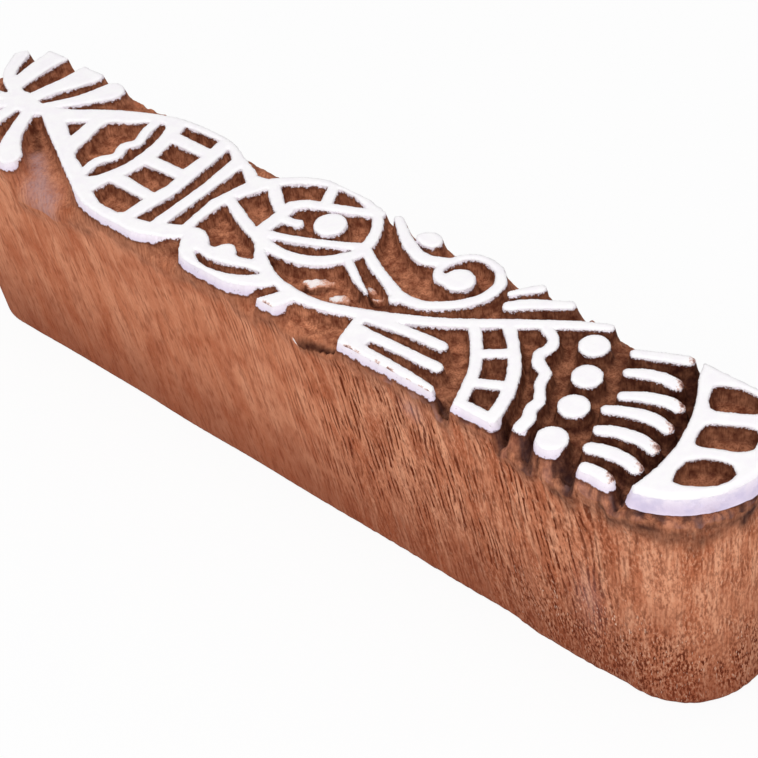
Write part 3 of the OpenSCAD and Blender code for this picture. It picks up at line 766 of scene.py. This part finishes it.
def build_coat(name, quads, material):
    """One patch of coat: rounded at the edges of the line that carries it, closed underneath."""
    used, local = np.unique(quads, return_inverse=True)
    local = local.reshape(quads.shape)
    places = flat_points[used]
    gap = inset[used]
    swelling = 0.25 + 0.75 * np.sqrt(ease(gap, -0.05 * mm, 0.5 * mm))
    dents = 0.08 * patches(places[:, 0], places[:, 1], 0.8 * mm, 0.8 * mm, 31)
    thickness = coat_t * (swelling - dents * ease(gap, 0, 0.3 * mm))
    top = np.column_stack([places, top_z[used] + thickness])
    base = np.column_stack([places, top_z[used]])
    count = len(used)
    faces = local.tolist() + (local[:, ::-1] + count).tolist()
    sides = {}
    for quad in local.tolist():
        for first, second in zip(quad, quad[1:] + quad[:1]):
            sides[(first, second)] = True
    for first, second in sides:
        if (second, first) not in sides:
            faces.append([second, first, first + count, second + count])
    worn = wear_of(name, places, gap, outward[used])
    fields = {"worn": np.concatenate([worn, worn])}
    return make_object(name.replace("_coat", "_paint"), np.concatenate([top, base]), faces, fields, material)


# Pieces: the wood, and one patch of coat for each coat of the frame
wood_look = wood_material()
coat_look = coat_material()
block = build_block(wood_look)
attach(block, "root")
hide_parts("block")

coat_names = sorted(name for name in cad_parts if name.endswith("_coat"))
all_quads = net_quads()
raised = (inset[all_quads] >= 0).all(1)
land_quads = all_quads[raised]
land_owner = coat_of_each(land_quads)
for number, name in enumerate(coat_names):
    piece = build_coat(name, land_quads[land_owner == number], coat_look)
    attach(piece, "root")
    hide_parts(name)

# Plain white floor that keeps a soft shadow
floor_mesh = bpy.data.meshes.new("floor")
floor_reach = 2.0
floor_corners = [
    (-floor_reach, -floor_reach, 0),
    (floor_reach, -floor_reach, 0),
    (floor_reach, floor_reach, 0),
    (-floor_reach, floor_reach, 0),
]
floor_mesh.from_pydata(floor_corners, [], [(0, 1, 2, 3)])
floor = bpy.data.objects.new("floor", floor_mesh)
bpy.context.scene.collection.objects.link(floor)
floor_material = new_material("floor_white")
floor_tree = floor_material.node_tree
paper = add(floor_tree, "ShaderNodeBsdfDiffuse", {"Color": colour(244, 244, 245)})
glow = add(floor_tree, "ShaderNodeEmission", {"Color": (1, 1, 1, 1), "Strength": 1.0})
ray = add(floor_tree, "ShaderNodeLightPath", {})
seen = math_node(floor_tree, "MAXIMUM", ray.outputs["Is Camera Ray"], ray.outputs["Is Glossy Ray"])
seen = math_node(floor_tree, "MAXIMUM", seen, ray.outputs["Is Transmission Ray"])
lift = math_node(floor_tree, "MULTIPLY", seen, 0.9)
mixed = add(floor_tree, "ShaderNodeMixShader", {0: lift, 1: paper.outputs[0], 2: glow.outputs[0]})
add(floor_tree, "ShaderNodeOutputMaterial", {"Surface": mixed.outputs[0]})
floor_mesh.materials.append(floor_material)

# Soft studio light: an even white surround and two large soft lamps
world = bpy.data.worlds.new("studio")
bpy.context.scene.world = world
world.use_nodes = True
world.node_tree.nodes["Background"].inputs["Color"].default_value = (1, 1, 1, 1)
world.node_tree.nodes["Background"].inputs["Strength"].default_value = 0.5


def lamp(name, place, aim, size, power):
    """A large square lamp that shines from its place towards a point."""
    light = bpy.data.lights.new(name, "AREA")
    light.size = size
    light.energy = power
    holder = bpy.data.objects.new(name, light)
    bpy.context.scene.collection.objects.link(holder)
    back = np.array(place) - np.array(aim)
    back = back / np.linalg.norm(back)
    side = np.cross((0, 0, 1), back)
    side = side / np.linalg.norm(side)
    up = np.cross(back, side)
    turn = Matrix(np.column_stack([side, up, back]).tolist()).to_4x4()
    holder.matrix_world = Matrix.Translation(place) @ turn


lamp_aim = (0.01, 0, 0.02)
lamp("key", (0.49, -0.46, 0.8), lamp_aim, 0.7, 5.0)
lamp("top", (-0.25, -0.2, 0.95), lamp_aim, 0.8, 2.0)

# Camera where the photograph was taken from, with its focal length in pixels of the picture
camera_place = (0.1669, -0.14575, 0.2170)
focal_px = 2000
picture_px = 758
camera_data = bpy.data.cameras.new("camera")
camera_data.sensor_width = 36
camera_data.lens = camera_data.sensor_width * focal_px / picture_px
camera_data.clip_start = 0.01
camera_data.clip_end = 10
camera = bpy.data.objects.new("camera", camera_data)
bpy.context.scene.collection.objects.link(camera)
azimuth = math.radians(47.24)
elevation = math.radians(43)
roll = math.radians(8)
forward = np.array([
    -math.sin(azimuth) * math.cos(elevation),
    math.cos(azimuth) * math.cos(elevation),
    -math.sin(elevation),
])
level_right = np.array([math.cos(azimuth), math.sin(azimuth), 0])
level_down = np.cross(forward, level_right)
picture_right = math.cos(roll) * level_right + math.sin(roll) * level_down
picture_down = -math.sin(roll) * level_right + math.cos(roll) * level_down
camera_turn = Matrix(np.column_stack([picture_right, -picture_down, -forward]).tolist()).to_4x4()
camera.matrix_world = Matrix.Translation(camera_place) @ camera_turn
bpy.context.scene.camera = camera
bpy.context.scene.view_settings.view_transform = "Standard"
